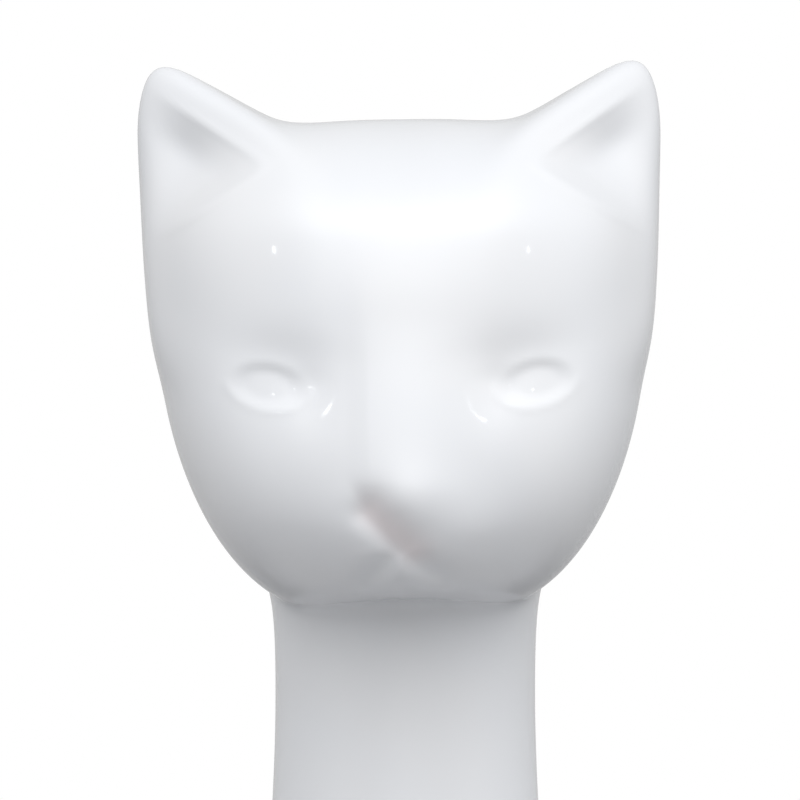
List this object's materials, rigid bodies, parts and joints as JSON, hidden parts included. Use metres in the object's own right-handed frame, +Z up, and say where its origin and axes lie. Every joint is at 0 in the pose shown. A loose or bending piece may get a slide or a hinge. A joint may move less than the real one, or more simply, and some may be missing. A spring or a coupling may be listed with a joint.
{
  "type": "ceramic cat figurine",
  "caption": "Slim seated cat with a very long neck and closed-in paws, hollow glossy white glazed ceramic, with a stoppered pour hole and rubber bumpers under the base.",
  "frame": {"origin": "bottom centre of the bounding box, on the table", "axes": "+Z up, -Y the way the cat faces, +X the side its tail lies on"},
  "size_m": [0.1145, 0.1364, 0.4012],
  "materials": {
    "glazed_head": "thick glossy clear glaze over white stoneware",
    "glazed_body": "thick glossy clear glaze over white stoneware, bare foot ring",
    "stopper_rubber": "soft matt grey rubber",
    "bumper_rubber": "translucent pale rubber"
  },
  "bodies": {
    "figure": {"head_casting": "glazed_head", "body_casting": "glazed_body", "foot_front_left": "bumper_rubber", "foot_front_right": "bumper_rubber", "foot_rear_left": "bumper_rubber", "foot_rear_right": "bumper_rubber"},
    "stopper": {"pour_hole_stopper": "stopper_rubber"}
  },
  "joints": [
    {"name": "stopper_pull", "type": "slide", "parent": "figure", "child": "stopper", "axis": [0, 0, -1], "range_m": [0, 0.025]}
  ]
}
